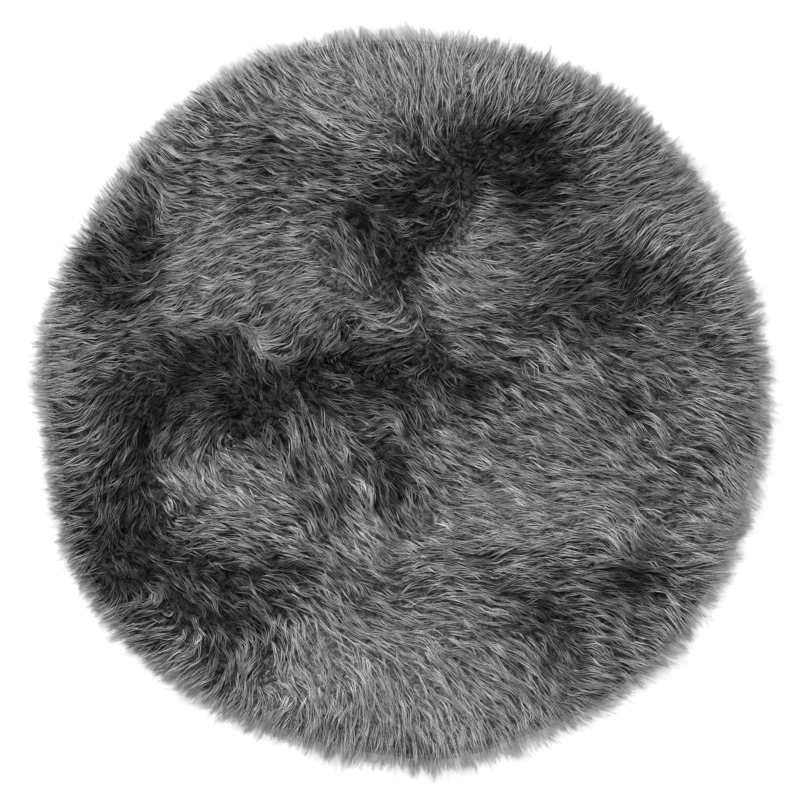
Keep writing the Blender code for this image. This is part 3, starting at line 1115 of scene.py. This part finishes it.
def make_underwool(material):
    def top(x, y):
        rise = np.clip((inward_of(x, y) - UNDERWOOL_MARGIN) / UNDERWOOL_SLOPE, 0.0, 1.0)
        base = HIDE_TOP + UNDERWOOL_EDGE
        full = UNDERWOOL_TOP - base + UNDERWOOL_LUMP * lumps(x, y, UNDERWOOL_LUMP_SIZE, layer=0.7)
        return base + rise**UNDERWOOL_SLOPE_CURVE * full

    shape = UNDERWOOL_RINGS, UNDERWOOL_SPOKES, ROOT_INSET + UNDERWOOL_MARGIN
    mesh = disc_slab("underwool", *shape, HIDE_TOP + UNDERWOOL_GAP, top)
    x, y = polar_points(*shape)
    # the zones' painted light and shade, which the underwool's painted shade follows
    zone = zone_of(x, y, inward_of(x, y))
    both_faces = np.append(zone, zone)
    mesh.attributes.new("zone", "FLOAT", "POINT").data.foreach_set("value", both_faces)
    mesh.materials.append(material)
    return object_of("underwool", mesh)


KEPT_ATTRIBUTES = {
    "OFBake", "along", "border", "clump_tint", "lock_tint", "ridge", "root_shade", "side", "tint",
    "tuft", "zone", "sharp_face", "material_index",
}


def drop_attributes(mesh):
    """Takes off the attributes that only the growing needed."""
    extra = [
        item.name
        for item in mesh.attributes
        if not item.is_required and item.name not in KEPT_ATTRIBUTES and not item.name.startswith(".")
    ]
    for name in extra:
        mesh.attributes.remove(mesh.attributes[name])


def grow_wool(name, nap, tree, values):
    """Runs the tree on the nap and keeps the result as a plain mesh."""
    grower = object_of(name + "_grower", nap)
    modifier = grower.modifiers.new("locks", "NODES")
    modifier.node_group = tree
    for item in tree.interface.items_tree:
        if item.in_out == "INPUT" and item.name in values:
            value = values[item.name]
            angle = item.name in ANGLE_INPUTS
            modifier[item.identifier] = math.radians(value) if angle else value
    graph = bpy.context.evaluated_depsgraph_get()
    mesh = bpy.data.meshes.new_from_object(
        grower.evaluated_get(graph), preserve_all_data_layers=True, depsgraph=graph
    )
    grower.modifiers.remove(modifier)
    bpy.data.objects.remove(grower)
    drop_attributes(mesh)
    mesh.name = name
    return object_of(name, mesh)


# ==== Materials


def new_material(name, roughness, specular=0.5):
    material = bpy.data.materials.new(name)
    material.use_nodes = True
    shader = material.node_tree.nodes["Principled BSDF"]
    shader.inputs["Roughness"].default_value = roughness
    shader.inputs["Specular IOR Level"].default_value = specular
    return material, Tree(material.node_tree), shader


def attribute(tree, name):
    return tree.add("ShaderNodeAttribute", attribute_name=name).outputs["Fac"]


def object_place(tree):
    return tree.add("ShaderNodeTexCoord").outputs["Object"]


def finish_material(tree, shader, grey, height, relief):
    tree.feed(shader.inputs["Base Color"], tree.combine(grey, grey, grey))
    bump = tree.add("ShaderNodeBump", {"Height": height, "Distance": relief})
    tree.feed(shader.inputs["Normal"], bump.outputs[0])


def fibre_noise(tree, along, tint):
    """Fine fibres side by side on a strand."""
    place = tree.combine(
        tree.math("MULTIPLY_ADD", tint, APART.x, tree.product(attribute(tree, "side"), FIBRES_ACROSS)),
        tree.product(along, FIBRES_ALONG),
        tree.product(tint, APART.z),
    )
    return tree.noise(place, FIBRE_SCALE, detail=2.0)["Fac"]


def crimp_shade_noise(tree, along, lock_tint):
    """Painted light and shade along a lock, on the lit and shaded sides of its crimps."""
    place = tree.combine(tree.product(lock_tint, APART.y), tree.product(along, CRIMP_SHADES), 0.0)
    return tree.noise(place, 1.0)["Fac"]


def toned(tree, pale, share, tone):
    dark_tone = tree.mix(share, tone.dark_first, tone.dark_last)
    pale_tone = tree.mix(share, tone.pale_first, tone.pale_last)
    return tree.mix(pale, dark_tone, pale_tone)


def root_shade_to_tip(tree, pale, along):
    """Painted shade at the root, where a strand is still deep in the pile. Pale wool has less painted
    shade at its roots.
    """
    root = tree.mix(attribute(tree, "root_shade"), BARE_ROOT_TONE, tree.mix(pale, *ROOT_TONES))
    emerged = tree.math("POWER", tree.share(along, *EMERGING), tree.mix(pale, *ROOT_CURVES))
    return tree.mix(emerged, root, EMERGED_TONE)


def hollow_shade_to_crest_light(tree, zone):
    """Painted shade in the hollows, where clumps differ at random in tone, and painted light on the
    crests.
    """
    clump = tree.math("POWER", attribute(tree, "clump_tint"), HOLLOW_SHADE_CURVE)
    return tree.mix(zone, tree.mix(clump, *HOLLOW_SHADE_TONES), CREST_LIGHT_TONE)


def wool_material():
    material, tree, shader = new_material("long_wool", WOOL_ROUGHNESS, WOOL_SHEEN)
    along = attribute(tree, "along")
    tint = attribute(tree, "tint")
    lock_tint = attribute(tree, "lock_tint")
    zone = attribute(tree, "zone")
    pale = tree.share(zone, *PALE_ZONES)
    tuft = tree.add("ShaderNodeAttribute", attribute_name="tuft").outputs["Vector"]
    fibres = fibre_noise(tree, along, tint)
    shares = {
        # painted light: lighter low in the pile, against the shade there
        "painted light low in the pile": tree.share(tree.separate(object_place(tree))["Z"], *PILE_HEIGHTS),
        "tip": tree.math("POWER", along, tree.mix(pale, *TIP_CURVES)),
        "strand": tint,
        "bright strand": tree.math("POWER", tint, BRIGHT_STRAND_CURVE),
        "lock": lock_tint,
        # painted light and shade of the crimps along a lock
        "painted crimp shade": tree.share(crimp_shade_noise(tree, along, lock_tint), *NOISE_RANGE),
        # painted highlight along each strand's ridge
        "ridge": attribute(tree, "ridge"),
        # painted shade on the strands at a lock's border, lighter in its middle
        "border": attribute(tree, "border"),
        "tuft": tree.share(tree.separate(tuft)["Z"], *TUFT_RANGE),
        "fibre": tree.share(fibres, *NOISE_RANGE),
    }
    grey = tree.product(
        root_shade_to_tip(tree, pale, along),
        hollow_shade_to_crest_light(tree, zone),
        *[toned(tree, pale, share, TONES[name]) for name, share in shares.items()],
    )
    finish_material(tree, shader, grey, fibres, FIBRE_RELIEF)
    return material


def underwool_material():
    """Short dense curls under the long locks, darkened with painted shade deep in the pile and with
    painted shade in the pits between them.
    """
    material, tree, shader = new_material("underwool", roughness=0.8, specular=0.05)
    place = object_place(tree)
    pits = tree.noise(place, 1.0 / CURL_SIZE, detail=2.0, distortion=0.8)["Fac"]
    curls = tree.noise(place, 0.5 / CURL_WIDTH, detail=1.0, distortion=2.0)["Fac"]
    zone = attribute(tree, "zone")
    hollow_pit, crest_pit, between = PIT_SHADE_TONES
    grey = tree.product(
        # painted shade deep in the pile, following the zones' painted light and shade
        tree.mix(tree.math("POWER", zone, 2.0), *UNDERWOOL_SHADE_TONES),
        # painted shade in the pits between the curls
        tree.mix(tree.share(pits, *PIT_RANGE), tree.mix(zone, hollow_pit, crest_pit), between),
        tree.mix(tree.share(curls, *CURL_RANGE), *CURL_TONES),
    )
    height = tree.math("MULTIPLY_ADD", pits, 2.0, tree.product(curls, 0.5))
    finish_material(tree, shader, grey, height, CURL_RELIEF)
    return material


def suede_material():
    """The flesh side of the hide: a soft nap with faint pores."""
    material, tree, shader = new_material("suede_hide", roughness=0.9)
    mottle = tree.noise(object_place(tree), SUEDE_SCALE, detail=4.0)["Fac"]
    finish_material(tree, shader, tree.mix(mottle, *SUEDE_TONES), mottle, SUEDE_RELIEF)
    return material


# ==== Studio


def make_floor():
    corners = [(-1, -1), (1, -1), (1, 1), (-1, 1)]
    points = [(FLOOR_HALF * x, FLOOR_HALF * y, 0.0) for x, y in corners]
    mesh = bpy.data.meshes.new("floor")
    mesh.from_pydata(points, [], [(0, 1, 2, 3)])
    material, _, shader = new_material("studio_floor", roughness=0.9)
    shader.inputs["Base Color"].default_value = (FLOOR_TONE, FLOOR_TONE, FLOOR_TONE, 1.0)
    mesh.materials.append(material)
    object_of("floor", mesh)


def make_light():
    light = bpy.data.lights.new("overhead_softbox", "AREA")
    light.shape = "DISK"
    light.size = LIGHT_SIZE
    light.energy = LIGHT_POWER
    lamp = object_of("overhead_softbox", light)
    lamp.location = LIGHT_PLACE
    lamp.rotation_mode = "QUATERNION"
    lamp.rotation_quaternion = (-Vector(LIGHT_PLACE)).to_track_quat("-Z", "Y")


def make_sky():
    world = bpy.data.worlds.new("studio")
    world.use_nodes = True
    background = world.node_tree.nodes["Background"]
    background.inputs["Color"].default_value = (1.0, 1.0, 1.0, 1.0)
    background.inputs["Strength"].default_value = SKY_STRENGTH
    bpy.context.scene.world = world
    bpy.context.scene.view_settings.view_transform = "Standard"


def make_camera():
    camera = bpy.data.cameras.new("camera")
    camera.sensor_width = SENSOR_WIDTH
    camera.lens = SENSOR_WIDTH * (CAMERA_HEIGHT - FACE_HEIGHT) / FRAME_WIDTH
    holder = object_of("camera", camera)
    holder.location = (*CAMERA_AIM, CAMERA_HEIGHT)
    bpy.context.scene.camera = holder


# ==== The rug


def make_wool(material):
    nap = nap_mesh()
    long_tree = lock_tree("combed locks", LONG_RINGS)
    short_tree = lock_tree("short locks", SHORT_RINGS)
    growths = [
        (f"wool_{batch + 1}", long_tree, {**PILE, "Batches": BATCHES, "Batch": batch})
        for batch in range(BATCHES)
    ]
    growths += [
        ("rim_wisps", long_tree, RIM_WISPS),
        ("rim_locks", short_tree, RIM_LOCKS),
        ("loose_curls", short_tree, LOOSE_CURLS),
    ]
    return [
        grow_wool(name, nap, tree, {**values, "Wool": material}) for name, tree, values in growths
    ]


def main():
    hide = make_hide(suede_material())
    underwool = make_underwool(underwool_material())
    wool = make_wool(wool_material())
    for piece in [hide, underwool, *wool]:
        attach(piece, "root")
        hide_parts("fleece")
    make_floor()
    make_light()
    make_sky()
    make_camera()


main()
